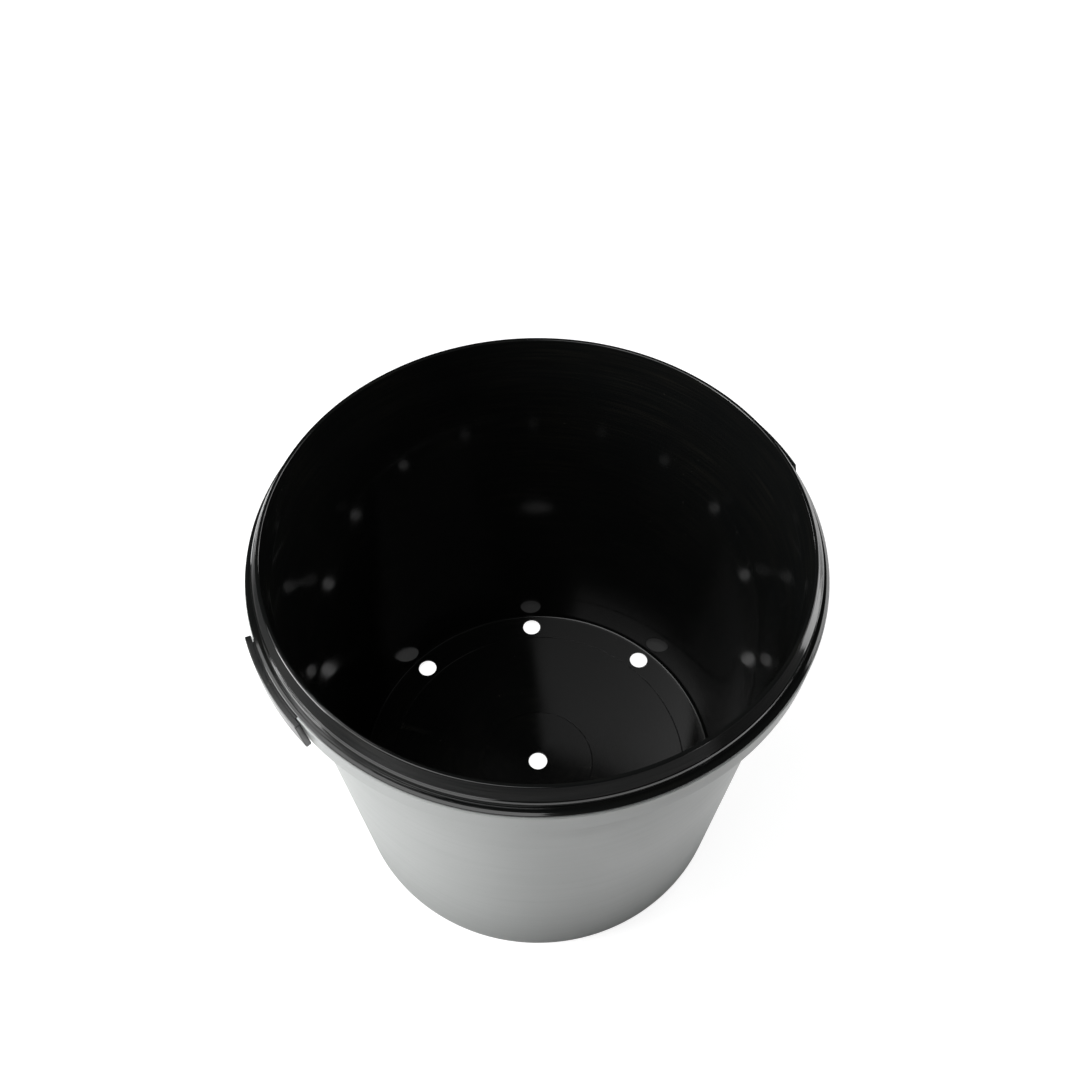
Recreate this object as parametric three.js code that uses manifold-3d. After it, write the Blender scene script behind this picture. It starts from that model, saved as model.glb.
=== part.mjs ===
// Hydroponic pot: a glossy black inner pot that hangs by its collar in a pale grey outer shell.
// Two black side grips are clipped under the collar and reach out through notches in the shell's rim.
// Millimetres, +Z up, origin on the ground under the middle of the pot. The grips lie on the X axis.

import * as THREE from 'three';
import { mergeVertices } from 'three/addons/utils/BufferGeometryUtils.js';
import Module from 'manifold-3d';

// Outer shell: foot, floor and tapered wall, which turns out a little behind the skirt
const SHELL_HEIGHT = 275.2;
const SHELL_BASE_RADIUS = 133.4;
const SHELL_NECK_RADIUS = 148.8;
const RIM_FLARE = 2.6;
const SHELL_WALL = 1.4;
const SHELL_FLOOR = 1.3;
const SHELL_CORNER = 3.0;
const NECK_BEND = 9.0;
const FOOT_HEIGHT = 1.0;
const FOOT_WIDTH = 4.5;
const FOOT_ROUND = 0.9;

// Outer shell: the web and skirt of its rim, and the ribs behind the skirt
const WEB_THICKNESS = 1.8;
const SKIRT_DEPTH = 15.3;
const SKIRT_WALL = 1.5;
const SKIRT_SETBACK = 0.1;
const SKIRT_TAPER = 0.5;
const SKIRT_EDGE = 0.5;
const RIB_COUNT = 24;
const RIB_THICKNESS = 1.4;
const RIB_DEPTH = 9.0;

// Inner pot: wall and floor
const NEST_GAP = 0.3;
const POT_WALL = 1.2;
const POT_FLOOR = 1.3;
const POT_CORNER = 3.1;

// Inner pot: the channel that cores the collar out from below
const CHANNEL_WALL = 1.2;
const CHANNEL_WIDTH = 2.0;
const CHANNEL_HEIGHT = 9.0;
const CHANNEL_DRAFT = 0.4;

// Inner pot: collar, from the ledge up to the lip
const COLLAR_GROOVE = 0.5;
const LEDGE_WIDTH = 4.7;
const LEDGE_THICKNESS = 1.9;
const LEDGE_EDGE = 0.4;
const CREST_PROUD = 0.3;
const CREST_DROP = 8.4;
const CREST_ROUND = 0.8;
const CREST_UNDERSIDE = 60.0;
const CREST_TOPSIDE = 25.0;
const LIP_HEIGHT = 13.0;
const LIP_LEAN = 3.0;
const LIP_THICKNESS = 1.9;
const LIP_EDGE = 0.5;

// Inner pot: marks in the floor
const GROOVE_INSET = 23.4;
const GROOVE_WIDTH = 0.9;
const GROOVE_DEPTH = 0.4;
const DISC_RADIUS = 41.0;
const DISC_DEPTH = 0.4;

// Drain holes
const DRAIN_RADIUS = 7.0;
const DRAIN_INSET = 13.3;
const DRAIN_COUNT = 8;
const DRAIN_TURN = 15.0;
const SHELL_DRAIN_MARGIN = 1.6;

// Side grips: the outer wall that shows, the plate under the ledge, gussets and clips
const GRIP_STANDOFF = 0.4;
const GRIP_WALL = 3.2;
const GRIP_DEPTH = 12.8;
const GRIP_STEP = 1.0;
const GRIP_EDGE = 0.7;
const GRIP_HALF_ANGLE = 11.0;
const GRIP_END_SLOPE = 28.0;
const PLATE_THICKNESS = 2.2;
const PLATE_HALF_ANGLE = 9.5;
const GUSSET_ANGLE = 0.6;
const GUSSET_DEPTH = 6.0;
const CLIP_TURN = 6.0;
const CLIP_HALF_ANGLE = 1.6;
const CLIP_HEIGHT = 5.5;
const GRIP_GAP = 0.3;
const NOTCH_GAP = 0.5;

// Facets: steps round the pot, round a drain hole and in a rounded corner
const ROUND_STEPS = 72;
const DRAIN_STEPS = 24;
const CORNER_STEPS = 3;

const toRadians = THREE.MathUtils.degToRad;
const toDegrees = THREE.MathUtils.radToDeg;

// Heights that stack up from the ground, and radii that follow from the fits
const shellFloorTop = FOOT_HEIGHT + SHELL_FLOOR;
const potFloorBottom = shellFloorTop + NEST_GAP;
const potFloorTop = potFloorBottom + POT_FLOOR;
const skirtBottom = SHELL_HEIGHT - SKIRT_DEPTH;
const ledgeBottom = SHELL_HEIGHT + NEST_GAP;
const ledgeTop = ledgeBottom + LEDGE_THICKNESS;
const potTop = ledgeTop + LIP_HEIGHT;
const grooveRadius = SHELL_BASE_RADIUS - GROOVE_INSET;
const drainRingRadius = SHELL_BASE_RADIUS - DRAIN_INSET;

// The collar and the grips step outwards from the shell's rim.
const rimRadius = SHELL_NECK_RADIUS + RIM_FLARE;
const gripInner = rimRadius + NOTCH_GAP;
const channelInner = gripInner - GRIP_GAP;
const channelOuter = channelInner + CHANNEL_WIDTH;
const collarRadius = channelOuter + CHANNEL_WALL + COLLAR_GROOVE;
const crestRadius = collarRadius + CREST_PROUD;
const lipRadius = collarRadius - LIP_LEAN;
const lipInner = lipRadius - LIP_THICKNESS;
const ledgeRadius = collarRadius + LEDGE_WIDTH;
const skirtRadius = ledgeRadius - SKIRT_SETBACK;
const gripWallInner = ledgeRadius + GRIP_STANDOFF;
const gripOuter = gripWallInner + GRIP_WALL;

// Heights of the grips, which hang under the ledge
const plateTop = ledgeBottom - GRIP_GAP;
const plateBottom = plateTop - PLATE_THICKNESS;
const gripTop = plateTop - GRIP_STEP;
const gripBottom = plateTop - GRIP_DEPTH;

// The outside of the shell's wall: a straight cone up to the skirt's lower edge, where it
// bends, over a short stretch, to the steeper line that reaches the rim.
function wallOuter(z) {
  const lowSlope = (SHELL_NECK_RADIUS - SHELL_BASE_RADIUS) / skirtBottom;
  const highSlope = RIM_FLARE / SKIRT_DEPTH;
  const past = Math.min(Math.max(z - skirtBottom + NECK_BEND, 0), 2 * NECK_BEND);
  const bend = (highSlope - lowSlope) * past * past / (4 * NECK_BEND);
  const beyond = (highSlope - lowSlope) * Math.max(z - skirtBottom - NECK_BEND, 0);
  return SHELL_BASE_RADIUS + lowSlope * z + bend + beyond;
}

const wallInner = (z) => wallOuter(z) - SHELL_WALL;
const potOuter = (z) => wallInner(z) - NEST_GAP;
const potInner = (z) => potOuter(z) - POT_WALL;

// Heights of the profile points that carry the bend, from the lowest up
const bendHeights = [-1, -0.3, 0.3, 1].map((share) => skirtBottom + share * NECK_BEND);

const wasm = await Module();
wasm.setup();

// Turn a closed three.js geometry into a manifold solid.
function solidOf(geometry) {
  const bare = geometry.clone();
  bare.deleteAttribute('normal');
  bare.deleteAttribute('uv');
  const merged = mergeVertices(bare, 1e-4);
  const mesh = new wasm.Mesh({
    numProp: 3,
    vertProperties: new Float32Array(merged.attributes.position.array),
    triVerts: new Uint32Array(merged.index.array),
  });
  return new wasm.Manifold(mesh);
}

// Turn a manifold solid back into a three.js geometry.
function geometryOf(solid) {
  const mesh = solid.getMesh();
  const geometry = new THREE.BufferGeometry();
  geometry.setAttribute('position', new THREE.BufferAttribute(Float32Array.from(mesh.vertProperties), 3));
  geometry.setIndex(new THREE.BufferAttribute(Uint32Array.from(mesh.triVerts), 1));
  const flat = geometry.toNonIndexed();
  flat.computeVertexNormals();
  return flat;
}

// Revolve a profile of [radius, z] points about the Z axis. The points run with the
// material on their left, and a profile that stays off the axis is closed on itself.
function revolve(profile) {
  const closed = profile[0][0] === 0 ? profile : [...profile, profile[0]];
  const points = closed.map(([r, z]) => new THREE.Vector2(r, z));
  return solidOf(new THREE.LatheGeometry(points, ROUND_STEPS).rotateX(Math.PI / 2));
}

// A rectangle's profile, for revolving.
function rectangle(inner, outer, bottom, top) {
  return [[inner, bottom], [outer, bottom], [outer, top], [inner, top]];
}

// Points of a rounded corner between two directions, given in degrees, about a centre.
function corner(r, z, radius, from, to) {
  const points = [];
  for (let step = 0; step <= CORNER_STEPS; step += 1) {
    const angle = toRadians(from + (to - from) * step / CORNER_STEPS);
    points.push([r + radius * Math.cos(angle), z + radius * Math.sin(angle)]);
  }
  return points;
}

// A tall wedge that covers all directions within an angle of the direction given.
function wedge(turn, halfAngle) {
  const length = 2 * gripOuter;
  const half = length * Math.tan(toRadians(halfAngle));
  const shape = new THREE.Shape([
    new THREE.Vector2(0, 0),
    new THREE.Vector2(length, -half),
    new THREE.Vector2(length, half),
  ]);
  const geometry = new THREE.ExtrudeGeometry(shape, { depth: 2 * potTop, bevelEnabled: false });
  return solidOf(geometry.translate(0, 0, -potTop / 2).rotateZ(toRadians(turn)));
}

// Cut the middle drain hole and the ring of them out of a floor.
function cutDrains(solid, radius, floorBottom, floorTop) {
  const depth = floorTop - floorBottom + 2;
  const hole = () => new THREE.CylinderGeometry(radius, radius, depth, DRAIN_STEPS)
    .rotateX(Math.PI / 2)
    .translate(0, 0, (floorBottom + floorTop) / 2);
  let result = solid.subtract(solidOf(hole()));
  for (let drain = 0; drain < DRAIN_COUNT; drain += 1) {
    const turn = toRadians(DRAIN_TURN + 360 * drain / DRAIN_COUNT);
    result = result.subtract(solidOf(hole().translate(drainRingRadius, 0, 0).rotateZ(turn)));
  }
  return result;
}

// Inner pot: a thin tapered wall under a collar. The collar is cored out from below, and
// outside it has the ledge that carries the pot, a grooved neck, a crest and the thin lip.
function innerPot() {
  const wallFoot = potFloorBottom + SHELL_CORNER;
  const insideFoot = potFloorTop + POT_CORNER;
  const crestZ = potTop - CREST_DROP;
  const grooveZ = (crestZ + ledgeTop) / 2;
  const profile = [
    [0, potFloorBottom],
    ...corner(potOuter(wallFoot) - SHELL_CORNER, wallFoot, SHELL_CORNER, -90, 0),
    ...bendHeights.map((z) => [potOuter(z), z]),
    [potOuter(ledgeBottom), ledgeBottom],
    [channelInner, ledgeBottom],
    [channelInner + CHANNEL_DRAFT, ledgeBottom + CHANNEL_HEIGHT],
    [channelOuter - CHANNEL_DRAFT, ledgeBottom + CHANNEL_HEIGHT],
    [channelOuter, ledgeBottom],
    [ledgeRadius - LEDGE_EDGE, ledgeBottom],
    [ledgeRadius, ledgeBottom + LEDGE_EDGE],
    [ledgeRadius, ledgeTop - LEDGE_EDGE],
    [ledgeRadius - LEDGE_EDGE, ledgeTop],
    [collarRadius, ledgeTop],
    [collarRadius, grooveZ - COLLAR_GROOVE],
    [collarRadius - COLLAR_GROOVE, grooveZ],
    [collarRadius - COLLAR_GROOVE, crestZ - CREST_ROUND],
    ...corner(crestRadius - CREST_ROUND, crestZ, CREST_ROUND, -CREST_UNDERSIDE, CREST_TOPSIDE),
    [lipRadius, potTop - LIP_EDGE],
    [lipRadius - LIP_EDGE, potTop],
    [lipInner + LIP_EDGE, potTop],
    [lipInner, potTop - LIP_EDGE],
    ...bendHeights.map((z) => [potInner(z), z]).reverse(),
    ...corner(potInner(insideFoot) - POT_CORNER, insideFoot, POT_CORNER, 0, -90),
    [grooveRadius + GROOVE_WIDTH / 2, potFloorTop],
    [grooveRadius, potFloorTop - GROOVE_DEPTH],
    [grooveRadius - GROOVE_WIDTH / 2, potFloorTop],
    [DISC_RADIUS, potFloorTop],
    [DISC_RADIUS - DISC_DEPTH / 2, potFloorTop - DISC_DEPTH],
    [0, potFloorTop - DISC_DEPTH],
  ];
  return geometryOf(cutDrains(revolve(profile), DRAIN_RADIUS, potFloorBottom, potFloorTop));
}

// One rib behind the skirt, which ties the skirt to the wall under the web.
function skirtRib(turn) {
  const top = SHELL_HEIGHT - WEB_THICKNESS / 2;
  const bottom = SHELL_HEIGHT - WEB_THICKNESS - RIB_DEPTH;
  const outer = skirtRadius - SKIRT_TAPER - SKIRT_WALL / 2;
  const shape = new THREE.Shape([
    new THREE.Vector2(wallOuter(bottom) - SHELL_WALL / 2, bottom),
    new THREE.Vector2(outer, bottom),
    new THREE.Vector2(outer, top),
    new THREE.Vector2(wallOuter(top) - SHELL_WALL / 2, top),
  ]);
  const plate = new THREE.ExtrudeGeometry(shape, { depth: RIB_THICKNESS, bevelEnabled: false })
    .translate(0, 0, -RIB_THICKNESS / 2)
    .rotateX(Math.PI / 2)
    .rotateZ(toRadians(turn));
  return solidOf(plate);
}

// Outer shell: one moulding with a flat floor on a foot ring, a tapered wall, and a rim
// that turns out and down as a skirt, with ribs behind it and a notch for each grip.
function outerShell() {
  const webBottom = SHELL_HEIGHT - WEB_THICKNESS;
  const wallFoot = shellFloorTop + SHELL_CORNER;
  const footInner = SHELL_BASE_RADIUS - FOOT_WIDTH;
  const profile = [
    [0, FOOT_HEIGHT],
    [footInner, FOOT_HEIGHT],
    [footInner, 0],
    ...corner(wallOuter(FOOT_ROUND) - FOOT_ROUND, FOOT_ROUND, FOOT_ROUND, -90, 0),
    ...bendHeights.map((z) => [wallOuter(z), z]),
    [wallOuter(webBottom), webBottom],
    [skirtRadius - SKIRT_WALL, webBottom],
    [skirtRadius - SKIRT_TAPER - SKIRT_WALL, skirtBottom],
    [skirtRadius - SKIRT_TAPER, skirtBottom],
    [skirtRadius, SHELL_HEIGHT - SKIRT_EDGE],
    [skirtRadius - SKIRT_EDGE, SHELL_HEIGHT],
    [wallInner(SHELL_HEIGHT), SHELL_HEIGHT],
    ...bendHeights.map((z) => [wallInner(z), z]).reverse(),
    ...corner(wallInner(wallFoot) - SHELL_CORNER, wallFoot, SHELL_CORNER, 0, -90),
    [0, shellFloorTop],
  ];
  let solid = revolve(profile);
  for (let rib = 0; rib < RIB_COUNT; rib += 1) {
    solid = solid.add(skirtRib(360 * (rib + 0.5) / RIB_COUNT));
  }
  const notch = revolve(rectangle(rimRadius, skirtRadius + 1, skirtBottom - 1, SHELL_HEIGHT + 1));
  const notchHalfAngle = PLATE_HALF_ANGLE + toDegrees(NOTCH_GAP / rimRadius);
  for (const turn of [0, 180]) {
    solid = solid.subtract(notch.intersect(wedge(turn, notchHalfAngle)));
  }
  return geometryOf(cutDrains(solid, DRAIN_RADIUS + SHELL_DRAIN_MARGIN, FOOT_HEIGHT, shellFloorTop));
}

// All that lies past one sloping end of a grip, as a large block.
function beyondGripEnd(turn) {
  const size = gripOuter;
  const towards = Math.sign(turn);
  const block = new THREE.BoxGeometry(size, size, size)
    .translate(0, towards * size / 2, 0)
    .rotateX(towards * toRadians(GRIP_END_SLOPE))
    .translate(gripOuter - GRIP_WALL / 2, 0, gripTop)
    .rotateZ(toRadians(turn));
  return solidOf(block);
}

// Side grip: an outer wall with sloping ends, which hangs in front of the skirt, on a plate
// that passes through the skirt's notch and clips up into the collar's channel. Fingers
// reach up from below into the hollow behind the wall, between the two gussets.
function sideGrip(side) {
  const wallProfile = [
    [gripWallInner, gripBottom],
    [gripOuter - GRIP_EDGE, gripBottom],
    [gripOuter, gripBottom + GRIP_EDGE],
    [gripOuter, gripTop - GRIP_EDGE],
    [gripOuter - GRIP_EDGE, gripTop],
    [gripWallInner, gripTop],
  ];
  const clipTip = CHANNEL_DRAFT / 2;
  const clipProfile = [
    [gripInner, plateBottom + PLATE_THICKNESS / 2],
    [channelOuter - GRIP_GAP, plateBottom + PLATE_THICKNESS / 2],
    [channelOuter - GRIP_GAP, plateTop],
    [channelOuter - GRIP_GAP - clipTip, plateTop + CLIP_HEIGHT],
    [gripInner + clipTip, plateTop + CLIP_HEIGHT],
    [gripInner, plateTop],
  ];
  const join = gripWallInner + GRIP_WALL / 2;
  const plateRing = revolve(rectangle(gripInner, join, plateBottom, gripTop));
  const landRing = revolve(rectangle(gripInner, ledgeRadius - GRIP_GAP, gripTop - GRIP_EDGE, plateTop));
  const gussetRing = revolve(rectangle(gripInner, join, plateBottom - GUSSET_DEPTH, gripTop));
  const gussetSpace = wedge(0, PLATE_HALF_ANGLE - GUSSET_ANGLE);
  const neck = wedge(0, PLATE_HALF_ANGLE);
  let wall = revolve(wallProfile).intersect(wedge(0, 2 * GRIP_HALF_ANGLE));
  for (const turn of [-GRIP_HALF_ANGLE, GRIP_HALF_ANGLE]) {
    wall = wall.subtract(beyondGripEnd(turn));
  }
  let solid = wall.add(plateRing.intersect(neck)).add(landRing.intersect(neck));
  solid = solid.add(gussetRing.intersect(neck).subtract(gussetSpace));
  const clipRing = revolve(clipProfile);
  for (const turn of [-CLIP_TURN, CLIP_TURN]) {
    solid = solid.add(clipRing.intersect(wedge(turn, CLIP_HALF_ANGLE)));
  }
  return geometryOf(solid).rotateZ(toRadians(side));
}

// Finishes
const glossBlack = { color: 0x0b0c0c, roughness: 0.12, metalness: 0 };
const satinBlack = { color: 0x121313, roughness: 0.28, metalness: 0 };
const satinGrey = { color: 0x97999a, roughness: 0.42, metalness: 0 };

function named(name, geometry, finish) {
  const mesh = new THREE.Mesh(geometry, new THREE.MeshStandardMaterial(finish));
  mesh.name = name;
  return mesh;
}

const pot = new THREE.Group();
pot.add(named('outer_shell', outerShell(), satinGrey));

// The inner pot and its grips lift out together.
const liftOut = new THREE.Group();
liftOut.add(named('inner_pot', innerPot(), glossBlack));
liftOut.add(named('grip_right', sideGrip(0), satinBlack));
liftOut.add(named('grip_left', sideGrip(180), satinBlack));
pot.add(liftOut);

export default pot;
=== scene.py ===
import math

import bmesh
import bpy
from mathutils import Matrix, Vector


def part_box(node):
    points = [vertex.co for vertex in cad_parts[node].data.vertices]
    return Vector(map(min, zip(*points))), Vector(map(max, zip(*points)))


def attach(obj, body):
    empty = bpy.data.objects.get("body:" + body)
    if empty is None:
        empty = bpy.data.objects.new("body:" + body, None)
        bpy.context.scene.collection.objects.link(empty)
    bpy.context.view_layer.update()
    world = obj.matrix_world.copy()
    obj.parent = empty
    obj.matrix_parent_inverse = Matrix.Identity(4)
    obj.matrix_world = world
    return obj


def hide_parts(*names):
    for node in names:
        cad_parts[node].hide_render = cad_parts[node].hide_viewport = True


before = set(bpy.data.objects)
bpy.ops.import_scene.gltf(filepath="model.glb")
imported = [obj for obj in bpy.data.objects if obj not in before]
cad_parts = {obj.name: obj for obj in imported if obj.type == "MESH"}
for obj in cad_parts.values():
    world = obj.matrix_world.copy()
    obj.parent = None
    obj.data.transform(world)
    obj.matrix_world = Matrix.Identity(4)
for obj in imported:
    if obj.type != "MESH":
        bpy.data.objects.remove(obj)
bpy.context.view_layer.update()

# Studio: soft lights, a round pale floor and a white surround with a dark ceiling. The camera stands in
# front of the pot and looks down into it. Bearings run anticlockwise from the camera's right hand.
MM = 0.001
VIEW_TURN = 32.3
LENS = 35.473
SENSOR = 36.0
CAMERA_REACH = 356.08
CAMERA_RISE = 454.17
CAMERA_PITCH = 52.603
CAMERA_YAW = 0.246
FLOOR_RADIUS = 6.0
FLOOR_EDGES = 96
FLOOR_COLOR = (0.41, 0.41, 0.41)
FLOOR_GLOW = 0.74
UNDER_POT = 0.125
UNDER_POT_EDGE = 0.005
UNDER_POT_MIRRORED = 0.19
UNDER_NEAR_SHARE = 0.25
UNDER_NEAR = (-0.08, 0.06)
FOOT_SHADE = (0.02, 0.06)
NEAR_GLOW = 1.0
NEAR_RADIUS = 0.42
NEAR_FADE = 0.56
NEAR_SHIFT = 0.12
TABLE_RADIUS = 0.50
TABLE_FADE = 1.20
FILL = 0.19
HORIZON_GLOW = 0.28
HORIZON_TURN = 0.5
HORIZON_TOP = 0.10
BACK_GLOW = 0.04
BACK_FLOOR = 0.15
BACK_RANGE = (-0.05, 0.30)
SIDE_FLOOR = 0.25
SIDE_PATCHES = ((184.0, 0.75, 0.42, 0.66), (347.7, 0.94, 0.36, 0.46))
CEILING_GLOW = 0.02
CEILING_START = 0.45


def add_node(tree, kind, inputs=None, **settings):
    """Add a node, set its properties, and fill or link its inputs by name or by place."""
    node = tree.nodes.new(kind)
    for key, value in settings.items():
        setattr(node, key, value)
    for key, value in (inputs or {}).items():
        if isinstance(value, bpy.types.NodeSocket):
            tree.links.new(value, node.inputs[key])
        else:
            node.inputs[key].default_value = value
    return node


def math_node(tree, operation, first, second=0.0, third=0.0, clamp=False):
    """Add a Math node and return its output."""
    return add_node(tree, "ShaderNodeMath", {0: first, 1: second, 2: third},
                    operation=operation, use_clamp=clamp).outputs[0]


def map_range(tree, value, start, end, low, high):
    """Turn one range of a value into another, and hold it at the ends."""
    return add_node(tree, "ShaderNodeMapRange", {
        "Value": value, "From Min": start, "From Max": end, "To Min": low, "To Max": high}).outputs[0]


def bearing_point(bearing, reach, height):
    """A place in the studio, from its bearing, its distance from the pot's axis and its height."""
    angle = math.radians(bearing - VIEW_TURN)
    return Vector((reach * math.cos(angle), reach * math.sin(angle), height))


def softbox(name, bearing, reach, height, size, watts, aim=(0.0, 0.0, 0.15), spread=180.0):
    """A square soft light that faces the pot and stays out of the camera's own view."""
    light = bpy.data.lights.new(name, "AREA")
    light.shape = "RECTANGLE"
    light.size, light.size_y = size
    light.energy = watts
    light.spread = math.radians(spread)
    lamp = bpy.data.objects.new(name, light)
    bpy.context.scene.collection.objects.link(lamp)
    lamp.location = bearing_point(bearing, reach, height)
    lamp.rotation_euler = (Vector(aim) - lamp.location).to_track_quat("-Z", "Y").to_euler()
    lamp.visible_camera = False


pot_low, pot_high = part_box("inner_pot")
camera_data = bpy.data.cameras.new("camera")
camera_data.lens = LENS
camera_data.sensor_width = SENSOR
camera = bpy.data.objects.new("camera", camera_data)
bpy.context.scene.collection.objects.link(camera)
camera.location = bearing_point(270.0, CAMERA_REACH * MM, pot_high.z + CAMERA_RISE * MM)
camera.rotation_euler = (math.radians(90.0 - CAMERA_PITCH), 0.0, -math.radians(CAMERA_YAW + VIEW_TURN))
bpy.context.scene.camera = camera
bpy.context.scene.view_settings.view_transform = "Standard"

softbox("light_above_left", 200.0, 0.62, 1.25, (1.35, 1.05), 13.3)
softbox("light_left", 192.0, 1.15, 0.45, (0.5, 0.8), 16.5)
softbox("light_back_left", 143.0, 1.60, 0.52, (0.5, 0.36), 5.0)
softbox("light_right", 33.0, 1.25, 0.65, (0.9, 1.1), 13.0)
softbox("card_right", 25.0, 0.52, 0.03, (0.46, 0.30), 0.65, (0.0, 0.0, 0.28))
left_grip_end = bearing_point(224.0, 0.163, 0.27)
softbox("gridded_front", 315.2, 1.18, 0.15, (0.24, 0.22), 0.0092, left_grip_end, 16.0)

world = bpy.data.worlds.new("studio")
bpy.context.scene.world = world
world.use_nodes = True
sky = world.node_tree
sky.nodes.clear()
sky_direction = add_node(sky, "ShaderNodeTexCoord").outputs["Generated"]
upward = add_node(sky, "ShaderNodeSeparateXYZ", {0: sky_direction}).outputs["Z"]
forward = bearing_point(90.0, 1.0, 0.0)
sky_forward = add_node(sky, "ShaderNodeVectorMath", {0: sky_direction, 1: forward},
                       operation="DOT_PRODUCT").outputs["Value"]
horizon = map_range(sky, sky_forward, -HORIZON_TURN, HORIZON_TURN, HORIZON_GLOW, BACK_GLOW)
mirrored_sky = map_range(sky, upward, HORIZON_TOP, CEILING_START, horizon, CEILING_GLOW)
sky_path = add_node(sky, "ShaderNodeLightPath").outputs
sky_glow = add_node(sky, "ShaderNodeMix", {
    "Factor": sky_path["Is Glossy Ray"], "A": FILL, "B": mirrored_sky}, data_type="FLOAT").outputs[0]
sky_glow = add_node(sky, "ShaderNodeMix", {
    "Factor": sky_path["Is Camera Ray"], "A": sky_glow, "B": 1.0}, data_type="FLOAT").outputs[0]
backdrop = add_node(sky, "ShaderNodeBackground", {"Color": (1.0, 1.0, 1.0, 1.0), "Strength": sky_glow})
add_node(sky, "ShaderNodeOutputWorld", {"Surface": backdrop.outputs[0]})

floor_form = bmesh.new()
bmesh.ops.create_circle(floor_form, cap_ends=True, segments=FLOOR_EDGES, radius=FLOOR_RADIUS)
floor_mesh = bpy.data.meshes.new("studio_floor")
floor_form.to_mesh(floor_mesh)
floor_form.free()
studio_floor = bpy.data.objects.new("studio_floor", floor_mesh)
bpy.context.scene.collection.objects.link(studio_floor)
floor_paint = bpy.data.materials.new("pale_floor")
floor_paint.use_nodes = True
paint = floor_paint.node_tree
paint.nodes.clear()
floor_place = add_node(paint, "ShaderNodeTexCoord").outputs["Object"]
path = add_node(paint, "ShaderNodeLightPath").outputs
away = add_node(paint, "ShaderNodeVectorMath", {0: floor_place}, operation="LENGTH").outputs["Value"]
# Under the pot the floor glows at full white for camera rays: painted light that hides the pot's shadow
# where the drain holes show the floor.
painted_glow_under_pot = map_range(paint, away, UNDER_POT, UNDER_POT + UNDER_POT_EDGE, 1.0, FLOOR_GLOW)
beyond = map_range(paint, away, TABLE_RADIUS, TABLE_FADE, FLOOR_GLOW, 1.0)
for_camera = math_node(paint, "MAXIMUM", painted_glow_under_pot, beyond)
from_near = add_node(paint, "ShaderNodeVectorMath", {0: floor_place, 1: forward * -NEAR_SHIFT},
                     operation="DISTANCE").outputs["Value"]
floor_forward = add_node(paint, "ShaderNodeVectorMath", {0: floor_place, 1: forward},
                         operation="DOT_PRODUCT").outputs["Value"]
# For mirror rays the floor's glow is painted: it is dimmed under the pot and at its foot as a painted
# shadow, and fades out further from the pot as painted shade.
table = map_range(paint, from_near, NEAR_RADIUS, NEAR_FADE, NEAR_GLOW, 0.0)
under_mirrored = map_range(paint, floor_forward, *UNDER_NEAR,
                           UNDER_NEAR_SHARE * UNDER_POT_MIRRORED, UNDER_POT_MIRRORED)
shaded = map_range(paint, away, UNDER_POT + FOOT_SHADE[0], UNDER_POT + FOOT_SHADE[1],
                   under_mirrored, NEAR_GLOW)
for_mirrors = math_node(paint, "MINIMUM", shaded, table)
# For mirror rays the floor's colour is also darker behind the pot and in two patches beside it: painted
# shade that dims those reflections.
mirrored_floor_shade = map_range(paint, floor_forward, *BACK_RANGE, 1.0, BACK_FLOOR)
for bearing, reach, start, end in SIDE_PATCHES:
    patch = bearing_point(bearing, reach, 0.0)
    from_patch = add_node(paint, "ShaderNodeVectorMath", {0: floor_place, 1: patch},
                          operation="DISTANCE").outputs["Value"]
    painted_side_shade = map_range(paint, from_patch, start, end, SIDE_FLOOR, 1.0)
    mirrored_floor_shade = math_node(paint, "MULTIPLY", mirrored_floor_shade, painted_side_shade)
mirrored_share = add_node(paint, "ShaderNodeMix", {
    "Factor": path["Is Glossy Ray"], "A": 1.0, "B": mirrored_floor_shade}, data_type="FLOAT").outputs[0]
floor_tone = add_node(paint, "ShaderNodeVectorMath", {0: FLOOR_COLOR, "Scale": mirrored_share},
                      operation="SCALE").outputs["Vector"]
matt = add_node(paint, "ShaderNodeBsdfDiffuse", {"Color": floor_tone})
mirrors = math_node(paint, "MAXIMUM", path["Is Glossy Ray"], path["Is Transmission Ray"])
strength = math_node(paint, "MULTIPLY", mirrors, for_mirrors)
strength = math_node(paint, "MULTIPLY_ADD", path["Is Camera Ray"], for_camera, strength)
glow = add_node(paint, "ShaderNodeEmission", {"Strength": strength})
both = add_node(paint, "ShaderNodeAddShader", {0: matt.outputs[0], 1: glow.outputs[0]})
add_node(paint, "ShaderNodeOutputMaterial", {"Surface": both.outputs[0]})
floor_mesh.materials.append(floor_paint)

# Outer shell: a bucket of satin light-grey polypropylene, moulded in one shot. Its rim turns out and
# down as a skirt with ribs behind it, and is notched on two sides for the grips of the inner pot.
STEPS_ROUND = 288
ARC_STEPS = 5
SHELL_BASE = 133.4
SHELL_NECK = 148.8
RIM_FLARE = 2.6
SHELL_WALL = 1.4
SHELL_FLOOR = 1.3
SHELL_CORNER = 3.0
NECK_BEND = 9.0
BEND_STEPS = 12
FOOT_HEIGHT = 1.0
FOOT_WIDTH = 4.5
FOOT_ROUND = 0.9
WEB_THICKNESS = 1.8
SKIRT_DEPTH = 15.3
SKIRT_WALL = 1.5
SKIRT_TAPER = 0.5
SKIRT_EDGE = 0.6
RIB_COUNT = 24
RIB_THICKNESS = 1.4
RIB_DEPTH = 9.0
NOTCH_HALF_ANGLE = 9.69
DRAIN_COUNT = 8
DRAIN_TURN = 15.0
DRAIN_RING = 120.1
SHELL_DRAIN = 8.6
DRAIN_EDGE = 0.3
DRAIN_BEND = 0.3
TOOL_STEPS = 48
TOOL_PAST = 1.0
SUPPORT = 1.5
LONG_RUN = 6.0
WELD_DISTANCE = 2e-6
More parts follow.
